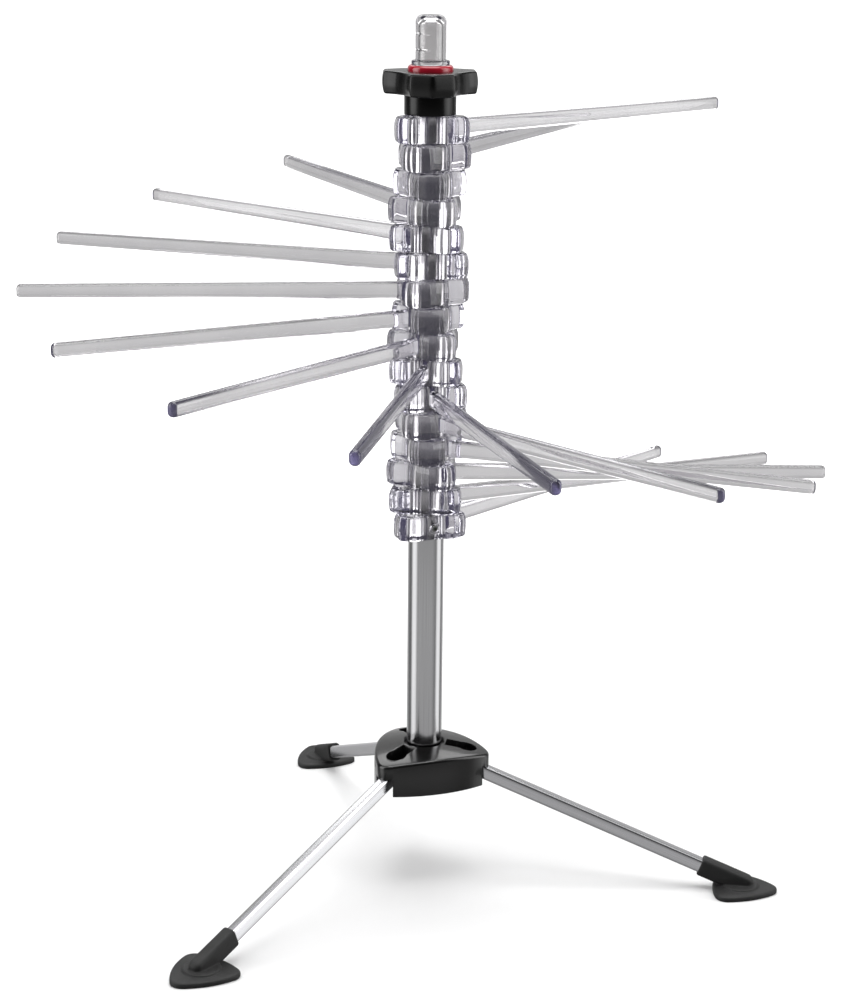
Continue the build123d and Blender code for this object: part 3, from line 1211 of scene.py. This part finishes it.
@dataclass
class Wand:
    """Clear closed tube that hangs in the column, with a finger grip on its handle."""

    radius: float = 8.3
    tip_radius: float = 7.7
    wall: float = 2.4
    flange_radius: float = 10.4
    flange_height: float = 2.2
    crown_radius: float = 3.7
    inner_crown: float = 3.2
    lower_edges: Point = (0.4, 0.8)
    flange_edges: Triple = (0.4, 0.6, 0.5)
    row_height: float = 0.3
    longest_plain: float = 5.0
    groove_drops: tuple[float, float] = (9.9, 18.5)
    groove_depth: float = 0.6
    groove_width: float = 0.5
    grip_azimuth: float = 207.0
    grip_spread: float = 62.0
    grip_fade: float = 8.0
    grip_margin: float = 0.5
    segments: int = 112

    def blank(self, low: float, seat: float, high: float) -> Piece:
        """Turn the wand's body.

        Args:
            low: Level of its open lower end.
            seat: Level of the column's end, on which the flange rests.
            high: Level of the crown.

        Returns:
            The turned wand with close rows of points on its handle.
        """
        bore = self.radius - self.wall
        collar = seat + self.flange_height
        (inner_edge, outer_edge), (under, over, root) = self.lower_edges, self.flange_edges
        path = rounded_path([
            (0.0, high - self.wall, 0.0), (bore, high - self.wall, self.inner_crown),
            (bore, low, inner_edge), (self.tip_radius, low, outer_edge),
            (self.radius, seat, 0.0), (self.flange_radius, seat, under),
            (self.flange_radius, collar, over), (self.radius, collar, root),
            (self.radius, high, self.crown_radius), (0.0, high, 0.0),
        ], closed=False)
        profile: list[Point] = []
        for start, end in zip(path, path[1:]):
            rise = end[1] - start[1]
            handle = min(start[0], end[0]) > bore and start[1] > seat
            close = handle and rise > self.longest_plain
            profile += spans(start, end, math.ceil(rise / self.row_height) if close else 1)
        profile.append(path[-1])
        return lathe("pasta_wand", profile, False, self.segments)

    def press_grip(self, piece: Piece, seat: float, high: float) -> None:
        """Sink the two shallow grip grooves into the handle's side.

        Args:
            piece: The turned wand.
            seat: Level of the flange's seat.
            high: Level of the crown.
        """
        floor = seat + self.flange_height + self.grip_margin
        for vertex in piece.data.vertices:
            x, y, z = vertex.co / MM
            if z < floor or math.hypot(x, y) < self.radius - self.grip_margin:
                continue
            away = math.degrees(math.atan2(y, x)) - self.grip_azimuth
            away = abs((away + TURN / 2) % TURN - TURN / 2)
            fade = min(1.0, max(0.0, (self.grip_spread - away) / self.grip_fade))
            depth = sum(
                math.exp(-(((high - drop - z) / self.groove_width) ** 2))
                for drop in self.groove_drops
            )
            scale = 1 - fade * depth * self.groove_depth / self.radius
            vertex.co.x *= scale
            vertex.co.y *= scale

    def build(self, finishes: Finishes) -> None:
        """Place the wand."""
        low, high = heights("wand")
        seat = heights("column_tube")[1]
        piece = self.blank(low, seat, high)
        self.press_grip(piece, seat, high)
        soften(piece)
        fit(piece, finishes.wand, "wand", "wand")


@dataclass
class Column:
    """Steel tube from the base hub up to the red ring."""

    radius: float = 10.2
    wall: float = 1.5
    edges: tuple[float, ...] = (0.3, 0.3, 0.4, 0.4)

    def build(self, finishes: Finishes) -> None:
        """Place the tube."""
        corners = upright(self.radius - self.wall, self.radius, *heights("column_tube"))
        tube = lathe("steel_column", edged(corners, self.edges), True, FINE_ROUND)
        fit(tube, finishes.column, "stand", "column_tube")


@dataclass
class BaseHub:
    """Domed three-cornered hub with the keyhole openings over the legs' eyes."""

    azimuth: float = -9.0
    corner_reach: float = 40.0
    side_reach: float = 28.0
    corner_radius: float = 8.0
    dome_radius: float = 125.0
    dome_rings: int = 8
    rim: float = 1.5
    chamfer: float = 0.4
    wall: float = 3.0
    socket_radius: float = 10.05
    well_radius: float = 11.8
    well_lip: float = 0.9
    well_depth: float = 3.0
    core_depth: float = 13.0
    core_inner: float = 13.5
    rib_reach: float = 80.0
    keyhole_start: float = 12.8
    keyhole_width: float = 10.0
    eye_centre: float = 25.0
    eye_radius: float = 6.0
    channel_width: float = 12.2
    pivot_radius: float = 24.0
    pivot_rise: float = 11.1
    slope: float = 21.0
    leg_half: float = 4.1
    edge_round: float = 0.35

    def shell(self, low: float, high: float) -> Piece:
        """Make the domed block with the column's well and socket.

        Args:
            low: Level of its underside.
            high: Level of the dome's top.

        Returns:
            The closed block.
        """
        outline = bowed_triangle(self.corner_reach, self.side_reach, self.corner_radius)

        def dome(x: float, y: float) -> float:
            """Level of the dome over a point."""
            drop = self.dome_radius - math.sqrt(self.dome_radius**2 - x * x - y * y)
            return high - drop

        rings = [level(inset(outline, self.chamfer), low), level(outline, low + self.chamfer)]
        for depth, drop in quarter(self.rim):
            rings.append([Vector((x, y, dome(x, y) - drop)) for x, y in inset(outline, depth)])
        inner = inset(outline, self.rim)
        for step in range(1, self.dome_rings + 1):
            ring = []
            for x, y in inner:
                share = (self.well_radius + self.chamfer) / math.hypot(x, y)
                scale = 1 - (1 - share) * step / self.dome_rings
                ring.append(Vector((x * scale, y * scale, dome(x * scale, y * scale))))
            rings.append(ring)
        floor = high - self.well_depth
        rings += circles(outline, [
            (self.well_radius, high - self.well_lip), (self.well_radius, floor),
            (self.socket_radius, floor), (self.socket_radius, low + self.wall),
        ])
        return skin("domed_base_hub", rings)

    def keyhole(self, low: float, high: float) -> Piece:
        """Make the cutter of one keyhole opening."""
        half = self.keyhole_width / 2
        limit, steps = TURN / 2 - math.degrees(math.asin(half / self.eye_radius)), 26
        eye = arc((self.eye_centre, 0), self.eye_radius, -limit, limit, steps)
        points = [(self.keyhole_start, half), (self.keyhole_start, -half), *eye]
        return prism("keyhole_tool", points, low - BEYOND, high + BEYOND)

    def channel(self, low: float) -> Piece:
        """Make the cutter of the space in which a leg rests and folds."""
        slope = math.radians(self.slope)
        pivot = low + self.pivot_rise
        outer, under = self.corner_reach + BEYOND, low - BEYOND
        rise = self.leg_half / math.cos(slope)
        corners = [
            (self.pivot_radius, under), (outer, under),
            (outer, pivot - (outer - self.pivot_radius) * math.tan(slope) + rise),
            (self.pivot_radius, pivot + rise),
        ]
        half = self.channel_width / 2
        return skin("channel_tool", [
            [Vector((x, y, z)) for x, z in corners] for y in (-half, half)
        ])

    def cores(self, low: float) -> Piece:
        """Make the cutter of the hollows under the hub."""
        outline = bowed_triangle(
            self.corner_reach - 2 * self.wall, self.side_reach - self.wall, self.corner_radius
        )
        top = low + self.core_depth
        under, over = low - 2 * BEYOND, top + BEYOND
        tool = prism("core_tool", outline, low - BEYOND, top)
        middle = lathe(
            "core_middle", upright(0.0, self.core_inner, under, over), False, LARGE_ROUND
        )
        combine(tool, middle, Cut.TAKE_AWAY)
        half = self.channel_width / 2 + self.wall
        for corner in range(LOBES):
            rib = prism("core_rib", strip(0.0, self.rib_reach, half), under, over)
            combine(tool, moved(rib, turn(TURN / LOBES * corner)), Cut.TAKE_AWAY)
        return tool

    def build(self, finishes: Finishes) -> None:
        """Cut the openings and place the hub."""
        low, high = heights("base_hub")
        piece = self.shell(low, high)
        combine(piece, self.cores(low), Cut.TAKE_AWAY)
        for corner in range(LOBES):
            for tool in (self.channel(low), self.keyhole(low, high)):
                combine(piece, moved(tool, turn(TURN / LOBES * corner)), Cut.TAKE_AWAY)
        bevel(piece, self.edge_round)
        moved(piece, turn(self.azimuth))
        fit(piece, finishes.base, "stand", "base_hub")


@dataclass
class Legs:
    """Three folding steel legs with their rubber feet, eyes and pins."""

    first_azimuth: float = BaseHub.azimuth
    slope: float = BaseHub.slope
    pivot_radius: float = BaseHub.pivot_radius
    width: float = 6.5
    height: float = 8.0
    wall: float = 0.9
    corner_radius: float = 1.3
    bow: float = 0.14
    start: float = 6.0
    end: float = 168.3
    foot_radius: float = 186.0
    sleeve_start: float = 148.3
    sleeve_end: float = 178.0
    sleeve_width: float = 8.6
    sleeve_height: float = 11.4
    sleeve_radius: float = 2.4
    sleeve_mouth: tuple[Point, ...] = ((0.8, 0.0), (0.25, 0.25), (0.0, 0.8))
    sleeve_blunt: float = 0.1
    ground_span: Point = (120.0, 240.0)
    ground_half: float = 40.0
    ground_levels: Point = (-20.0, 0.2)
    ankle_back: float = 12.0
    ankle_front: float = 7.5
    ankle_corner: float = 3.6
    ankle_rim: float = 2.4
    pocket_gap: float = 0.05
    pocket_lead: float = 2.0
    pad_reach: float = 23.0
    pad_side: float = 16.0
    pad_radius: float = 7.0
    pad_thickness: float = 3.0
    pad_edge: float = 0.3
    pad_rim: float = 1.3
    disc_radius: float = 10.5
    disc_height: float = 1.2
    disc_root: float = 1.0
    disc_draft: float = 10.0
    disc_edge: float = 0.3
    voxel: float = 0.4
    smooth_share: float = 0.5
    smooth_rounds: int = 5

    def at_pivot(self, piece: Piece) -> Piece:
        """Pitch a piece drawn along X down by the slope and put it at the pivot."""
        pivot = heights("base_hub")[0] + BaseHub.pivot_rise
        tilt = Matrix.Rotation(math.radians(self.slope), 4, "Y")
        return moved(piece, shift(self.pivot_radius, 0, pivot) @ tilt)

    def tube(self) -> Piece:
        """Make the rounded rectangular tube."""
        outer = bowed_box(self.width, self.height, self.corner_radius, self.bow)
        inner = bowed_box(
            self.width - 2 * self.wall, self.height - 2 * self.wall,
            self.corner_radius - self.wall, self.bow,
        )
        rings = [across(section, x) for section, x in (
            (outer, self.start), (outer, self.end), (inner, self.end), (inner, self.start)
        )]
        return self.at_pivot(skin("tube_master", rings, closed=True))

    def sleeve(self) -> Piece:
        """Make the sleeve over the leg's end, cut off at the floor."""
        section = rounded_box(self.sleeve_width, self.sleeve_height, self.sleeve_radius)
        stations = [(depth, self.sleeve_start + along) for depth, along in self.sleeve_mouth]
        share = 1 - self.sleeve_blunt / self.sleeve_radius
        stations += [(depth * share, self.sleeve_end - drop)
                     for depth, drop in quarter(self.sleeve_radius)]
        rings = [across(inset(section, depth), x) for depth, x in stations]
        piece = self.at_pivot(skin("sleeve_tool", rings))
        outline = strip(*self.ground_span, self.ground_half)
        combine(piece, prism("ground_tool", outline, *self.ground_levels), Cut.TAKE_AWAY)
        return piece

    def ankle(self) -> Piece:
        """Make the block under the sleeve's end, its crest level with the sleeve's top."""
        fall = math.tan(math.radians(self.slope))
        crest = heights("base_hub")[0] + BaseHub.pivot_rise + (
            self.sleeve_height / 2 / math.cos(math.radians(self.slope))
        )
        back, front = self.foot_radius - self.ankle_back, self.foot_radius + self.ankle_front
        plan = strip(back, front, self.sleeve_width / 2, self.ankle_corner)
        rings = [level(plan, self.pad_thickness / 2)]
        for depth, drop in quarter(self.ankle_rim):
            rings.append([
                Vector((x, y, crest - drop - (x - self.pivot_radius) * fall))
                for x, y in inset(plan, depth)
            ])
        return skin("ankle_tool", rings)

    def foot(self) -> Piece:
        """Mould the foot in one soft piece from its pad, disc, ankle and sleeve."""
        outline = bowed_triangle(self.pad_reach, self.pad_side, self.pad_radius)
        profile = rim_profile(self.pad_thickness, self.pad_edge, self.pad_rim, 0.0)
        place = shift(self.foot_radius, 0, 0)
        piece = moved(skin("foot_master", walls(outline, profile)), place)
        upper = self.disc_radius - self.disc_height * math.tan(math.radians(self.disc_draft))
        top = self.pad_thickness + self.disc_height
        disc = turned("disc_tool", [
            (0.0, self.disc_root, 0.0), (self.disc_radius, self.disc_root, 0.0),
            (self.disc_radius, self.pad_thickness, 0.0), (upper, top, self.disc_edge),
            (0.0, top, 0.0),
        ], LARGE_ROUND)
        combine(piece, moved(disc, place), Cut.JOIN)
        combine(piece, self.ankle(), Cut.JOIN)
        combine(piece, self.sleeve(), Cut.JOIN)
        pocket = rounded_box(
            self.width + 2 * self.pocket_gap, self.height + 2 * self.pocket_gap,
            self.corner_radius,
        )
        rings = [across(pocket, x) for x in (self.sleeve_start - self.pocket_lead, self.end)]
        combine(piece, self.at_pivot(skin("pocket_tool", rings)), Cut.TAKE_AWAY)
        remesh = piece.modifiers.new("moulded", "REMESH")
        remesh.mode = "VOXEL"
        remesh.voxel_size = self.voxel * MM
        smooth = piece.modifiers.new("softened", "SMOOTH")
        smooth.factor, smooth.iterations = self.smooth_share, self.smooth_rounds
        settle(piece)
        piece.data.shade_smooth()
        return piece

    def build(self, finishes: Finishes, spiral: SpiralPlacement) -> None:
        """Place the tubes and feet, and dress the eyes and pins.

        Args:
            finishes: The rack's materials.
            spiral: The tree that turns each copy to its azimuth.
        """
        tube, foot = self.tube(), self.foot()
        row = Row(self.first_azimuth, TURN / LOBES)
        for index in range(LOBES):
            body = f"leg_{index + 1}"
            piece = spiral.place(tube, f"steel_leg_{index + 1}", finishes.leg, index, row)
            soften(piece)
            fit(piece, finishes.leg, body, f"leg_tube_{index + 1}")
            piece = spiral.place(foot, f"rubber_foot_{index + 1}", finishes.rubber, index, row)
            piece.data.shade_smooth()
            fit(piece, finishes.rubber, body, f"foot_{index + 1}")
            dress(f"leg_eye_{index + 1}", finishes.eye)
            dress(f"pivot_pin_{index + 1}", finishes.pin)
        discard(tube, foot)


def dress(node: str, finish: Material) -> None:
    """Give a carried-over CAD node its procedural material."""
    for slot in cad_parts[node].material_slots:
        slot.material = finish


@dataclass(frozen=True)
class Band:
    """Stretch of the surroundings that glows, seen from the object.

    Attributes:
        middle: Its azimuth in degrees, 0 towards the camera and positive to the right.
        half: Half its breadth in degrees.
        edge: Degrees over which it fades out.
        strength: How much it adds.
    """

    middle: float
    half: float
    edge: float
    strength: float


class SurroundingGlow:
    """Shader group that gives the surroundings' glow in a direction.

    Bands by azimuth are added to the base. Steep directions take a share of the sum, and
    those that look far up get the overhead glow.
    """

    base = 0.06
    bands = (
        Band(-78.0, 5.0, 20.0, 1.2),
        Band(96.0, 5.0, 20.0, 1.2),
        Band(180.0, 24.0, 34.0, 0.48),
    )
    near_floor = Band(0.0, 40.0, 36.0, 0.35)
    floor_drop = (0.16, 0.36)
    steep_drop = (0.36, 0.7)
    steep_share = 0.3
    overhead_rise = (0.6, 0.85)
    overhead = 0.5

    def __init__(self) -> None:
        """Build the group."""
        self.group, entry = new_group(
            "surrounding_glow", "ShaderNodeTree", {"Direction": "Vector"}, {"Glow": "Float"}
        )
        split = add_node(
            self.group, "ShaderNodeSeparateXYZ", {0: entry["Direction"]}
        ).outputs
        azimuth = self.maths("ARCTAN2", split["X"], self.maths("MULTIPLY", split["Y"], -1.0))
        down = self.maths("MULTIPLY", split["Z"], -1.0)
        fall = eased(self.group, down, self.floor_drop, (0.0, 1.0))
        near_floor = self.maths("MULTIPLY", self.fade(azimuth, self.near_floor), fall)
        total = self.maths("ADD", near_floor, self.base)
        for band in self.bands:
            total = self.maths("ADD", total, self.fade(azimuth, band))
        steep = eased(
            self.group, self.maths("ABSOLUTE", split["Z"]), self.steep_drop,
            (1.0, self.steep_share),
        )
        overhead = eased(self.group, split["Z"], self.overhead_rise, (0.0, self.overhead))
        total = self.maths("ADD", self.maths("MULTIPLY", total, steep), overhead)
        add_node(self.group, "NodeGroupOutput", {"Glow": total})

    def fade(self, azimuth: Socket, band: Band) -> Socket:
        """Give a band's glow at an azimuth.

        Args:
            azimuth: Socket of the azimuth in radians.
            band: The band.

        Returns:
            The socket of the glow.
        """
        away = self.maths("SUBTRACT", azimuth, math.radians(band.middle))
        outer, inner = (
            math.cos(math.radians(angle)) for angle in (band.half + band.edge, band.half)
        )
        return eased(self.group, self.maths("COSINE", away), (outer, inner), (0.0, band.strength))

    def maths(self, operation: str, *values: object) -> Socket:
        """Add a math node to the group."""
        return add_node(
            self.group, "ShaderNodeMath", dict(enumerate(values)), operation=operation
        ).outputs[0]


RACK_MIDDLE = (0.0, 0.0, 0.28)
# Name, place, aim, size and power of each soft box
SOFT_BOXES = (
    ("left_box", (-1.25, -0.2, 0.75), RACK_MIDDLE, (0.8, 1.4), 7.0),
    ("right_box", (1.25, -0.2, 0.75), RACK_MIDDLE, (0.8, 1.4), 7.0),
    ("back_box", (0.0, 1.5, 1.5), RACK_MIDDLE, (1.6, 0.7), 9.0),
    ("top_box", (0.0, 0.0, 1.9), (0.0, 0.0, 0.0), (1.3, 1.3), 22.0),
)


@dataclass
class Studio:
    """Pale floor, soft boxes, surroundings and the camera at the photograph's angle."""

    eye: Triple = (0.0, -1.30184, 0.56686)
    forward: Triple = (0.00195, 0.96700, -0.25476)
    roll: float = 0.59
    focal_share: float = 2.37618
    frame_height: float = 24.0
    shadow_reach: Point = (0.15, 1.3)
    shadow_base: float = 0.0
    floor_white: float = 0.9
    floor_bounce: float = 0.1
    floor_reach: float = 6.0
    floor_roughness: float = 0.7
    floor_specular: float = 0.15
    backdrop: float = 1.1
    nearest: float = 0.05

    def __post_init__(self) -> None:
        """Build the surroundings' glow."""
        self.glow = SurroundingGlow().group

    def camera(self) -> None:
        """Set up the camera."""
        data = bpy.data.cameras.new("camera")
        data.sensor_fit = "VERTICAL"
        data.sensor_height = data.sensor_width = self.frame_height
        data.lens = self.focal_share * self.frame_height
        data.clip_start = self.nearest
        camera = linked("camera", data)
        forward = Vector(self.forward).normalized()
        right = forward.cross(Vector((0, 0, 1))).normalized()
        up = right.cross(forward)
        angle = math.radians(self.roll)
        side = right * math.cos(angle) + up * math.sin(angle)
        top = -right * math.sin(angle) + up * math.cos(angle)
        camera.matrix_world = Matrix.Translation(self.eye) @ Matrix(
            (side, top, -forward)
        ).transposed().to_4x4()
        bpy.context.scene.camera = camera

    def floor(self) -> None:
        """Lay the pale floor, which reflections see as a part of the surroundings."""
        reach = self.floor_reach
        mesh = bpy.data.meshes.new("studio_floor")
        mesh.from_pydata(
            [(-reach, -reach, 0), (reach, -reach, 0), (reach, reach, 0), (-reach, reach, 0)],
            [], [(0, 1, 2, 3)],
        )
        floor = linked("studio_floor", mesh)
        paper = bpy.data.materials.new("studio_paper")
        paper.use_nodes = True
        paper.cycles.emission_sampling = "NONE"
        tree = paper.node_tree
        camera_ray = add_node(tree, "ShaderNodeLightPath").outputs["Is Camera Ray"]
        place = add_node(tree, "ShaderNodeTexCoord").outputs["Object"]
        distance = add_node(tree, "ShaderNodeVectorMath", {0: place}, operation="LENGTH")
        far = eased(
            tree, distance.outputs["Value"], self.shadow_reach, (self.shadow_base, 1.0)
        )
        incoming = add_node(tree, "ShaderNodeNewGeometry").outputs["Incoming"]
        onward = add_node(
            tree, "ShaderNodeVectorMath", {0: incoming, "Scale": -1.0}, operation="SCALE"
        )
        around = add_node(
            tree, "ShaderNodeGroup", {"Direction": onward.outputs[0]}, node_tree=self.glow
        )
        glow, shade = (
            add_node(tree, "ShaderNodeMapRange", {
                "Value": camera_ray, "To Min": others, "To Max": seen,
            }).outputs[0]
            for others, seen in (
                (around.outputs["Glow"], far), (self.floor_bounce, self.floor_white)
            )
        )
        plug(tree, tree.nodes["Principled BSDF"], {
            "Roughness": self.floor_roughness, "Specular IOR Level": self.floor_specular,
            "Base Color": shade, "Emission Color": grey(1.0), "Emission Strength": glow,
        })
        mesh.materials.append(paper)

    def box_light(
        self, name: str, place: Triple, aim: Triple, size: Point, power: float
    ) -> None:
        """Hang one soft box.

        Args:
            name: The light's name.
            place: Where it hangs, in metres.
            aim: Point that it faces.
            size: Its width and height in metres.
            power: Its power in watts.
        """
        data = bpy.data.lights.new(name, "AREA")
        data.shape = "RECTANGLE"
        data.size, data.size_y = size
        data.energy = power
        light = linked(name, data)
        light.location = place
        facing = Vector(aim) - Vector(place)
        light.rotation_euler = facing.to_track_quat("-Z", "Y").to_euler()
        light.visible_camera = False

    def surroundings(self) -> None:
        """Make the even white studio behind the object."""
        world = bpy.data.worlds.new("studio")
        world.use_nodes = True
        tree = world.node_tree
        place = add_node(tree, "ShaderNodeTexCoord").outputs["Generated"]
        ring = add_node(tree, "ShaderNodeGroup", {"Direction": place}, node_tree=self.glow)
        around = tree.nodes["Background"]
        plug(tree, around, {"Color": grey(1.0), "Strength": ring.outputs["Glow"]})
        seen = add_node(
            tree, "ShaderNodeBackground", {"Color": grey(1.0), "Strength": self.backdrop}
        )
        path = add_node(tree, "ShaderNodeLightPath")
        mixed = add_node(tree, "ShaderNodeMixShader", {
            "Fac": path.outputs["Is Camera Ray"], 1: around.outputs[0], 2: seen.outputs[0],
        })
        plug(tree, tree.nodes["World Output"], {"Surface": mixed.outputs[0]})
        bpy.context.scene.world = world

    def build(self) -> None:
        """Set up the whole studio."""
        self.camera()
        self.floor()
        self.surroundings()
        for box in SOFT_BOXES:
            self.box_light(*box)
        bpy.context.scene.view_settings.view_transform = "Standard"


def main() -> None:
    """Build, dress and light the rack."""
    logging.basicConfig(level=logging.INFO, format="%(name)s: %(message)s")
    finishes = Finishes()
    spiral = SpiralPlacement()
    Studio().build()
    Column().build(finishes)
    BaseHub().build(finishes)
    Legs().build(finishes, spiral)
    ArmStack().build(finishes, spiral)
    Clamp().build(finishes)
    Wand().build(finishes)


if __name__ == "__main__":
    main()
